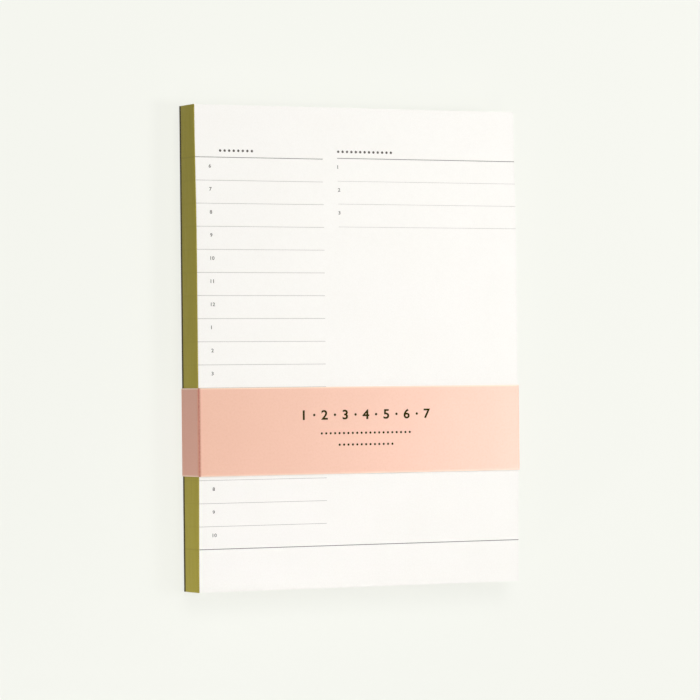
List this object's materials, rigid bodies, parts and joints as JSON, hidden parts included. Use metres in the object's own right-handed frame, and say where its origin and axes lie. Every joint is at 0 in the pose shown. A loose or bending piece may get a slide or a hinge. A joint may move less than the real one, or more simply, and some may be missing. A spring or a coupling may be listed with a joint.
{
  "type": "daily planner pad",
  "caption": "Tear-off desk planner pad of ruled sheets on a stiff board, glued along the left edge and wrapped in a loose paper band.",
  "frame": {"origin": "under the middle of the pad, on the surface that it lies on", "axes": "+X across the page to the right, +Y up the page, +Z out of the page"},
  "size_m": [0.1544, 0.2032, 0.0161],
  "materials": {
    "page": "matte uncoated",
    "board": "matte grey-brown chipboard",
    "glue": "satin olive padding glue",
    "band": "matte pink text paper",
    "seam": "clear dried glue"
  },
  "bodies": {
    "pad": {"backing_board": "board", "padding_glue": "glue", "sheet_009": "page", "sheet_010": "page", "sheet_011": "page", "sheet_012": "page", "sheet_013": "page", "sheet_014": "page", "sheet_015": "page", "sheet_016": "page", "sheet_017": "page", "sheet_018": "page", "sheet_019": "page", "sheet_020": "page", "sheet_021": "page", "sheet_022": "page", "sheet_023": "page", "sheet_024": "page", "sheet_025": "page", "sheet_026": "page", "sheet_027": "page", "sheet_028": "page", "sheet_029": "page", "sheet_030": "page", "sheet_031": "page", "sheet_032": "page", "sheets_033_to_036": "page", "sheets_037_to_040": "page", "sheets_041_to_044": "page", "sheets_045_to_048": "page", "sheets_049_to_052": "page", "sheets_053_to_056": "page", "sheets_057_to_060": "page", "sheets_061_to_064": "page", "sheets_065_to_068": "page", "sheets_069_to_072": "page", "sheets_073_to_076": "page", "sheets_077_to_080": "page", "sheets_081_to_084": "page", "sheets_085_to_088": "page", "sheets_089_to_092": "page", "sheets_093_to_096": "page", "sheets_097_to_100": "page"},
    "leaf_1": {"sheet_001": "page"},
    "leaf_2": {"sheet_002": "page"},
    "leaf_3": {"sheet_003": "page"},
    "leaf_4": {"sheet_004": "page"},
    "leaf_5": {"sheet_005": "page"},
    "leaf_6": {"sheet_006": "page"},
    "leaf_7": {"sheet_007": "page"},
    "leaf_8": {"sheet_008": "page"},
    "band": {"band_back_panel": "band", "band_spine_panel": "band", "band_edge_panel": "band", "band_seam_glue": "seam"},
    "band_front": {"band_front_panel": "band", "band_front_tab": "band"}
  },
  "joints": [
    {"name": "top_sheet_turn", "type": "hinge", "parent": "pad", "child": "leaf_1", "pos_m": [-0.07619, 0, 0.01587], "axis": [0, -1, 0], "range_deg": [0, 165]},
    {"name": "sheet_2_turn", "type": "hinge", "parent": "pad", "child": "leaf_2", "pos_m": [-0.07619, 0, 0.01587], "axis": [0, -1, 0], "range_deg": [0, 165]},
    {"name": "sheet_3_turn", "type": "hinge", "parent": "pad", "child": "leaf_3", "pos_m": [-0.07619, 0, 0.01587], "axis": [0, -1, 0], "range_deg": [0, 165]},
    {"name": "sheet_4_turn", "type": "hinge", "parent": "pad", "child": "leaf_4", "pos_m": [-0.07619, 0, 0.01587], "axis": [0, -1, 0], "range_deg": [0, 165]},
    {"name": "sheet_5_turn", "type": "hinge", "parent": "pad", "child": "leaf_5", "pos_m": [-0.07619, 0, 0.01587], "axis": [0, -1, 0], "range_deg": [0, 165]},
    {"name": "sheet_6_turn", "type": "hinge", "parent": "pad", "child": "leaf_6", "pos_m": [-0.07619, 0, 0.01587], "axis": [0, -1, 0], "range_deg": [0, 165]},
    {"name": "sheet_7_turn", "type": "hinge", "parent": "pad", "child": "leaf_7", "pos_m": [-0.07619, 0, 0.01587], "axis": [0, -1, 0], "range_deg": [0, 165]},
    {"name": "sheet_8_turn", "type": "hinge", "parent": "pad", "child": "leaf_8", "pos_m": [-0.07619, 0, 0.01587], "axis": [0, -1, 0], "range_deg": [0, 165]},
    {"name": "band_slide", "type": "slide", "parent": "pad", "child": "band", "axis": [0, -1, 0], "range_m": [-0.165, 0.095]},
    {"name": "band_front_fold", "type": "hinge", "parent": "band", "child": "band_front", "pos_m": [-0.07716, -0.03505, 0.01587], "axis": [0, -1, 0], "range_deg": [0, 174]}
  ],
  "couplings": [
    {"joint": "sheet_2_turn", "follows": "top_sheet_turn", "ratio": 0.91},
    {"joint": "sheet_3_turn", "follows": "top_sheet_turn", "ratio": 0.82},
    {"joint": "sheet_4_turn", "follows": "top_sheet_turn", "ratio": 0.73},
    {"joint": "sheet_5_turn", "follows": "top_sheet_turn", "ratio": 0.64},
    {"joint": "sheet_6_turn", "follows": "top_sheet_turn", "ratio": 0.55},
    {"joint": "sheet_7_turn", "follows": "top_sheet_turn", "ratio": 0.46},
    {"joint": "sheet_8_turn", "follows": "top_sheet_turn", "ratio": 0.37},
    {"joint": "band_front_fold", "follows": "top_sheet_turn", "ratio": 1.05}
  ]
}
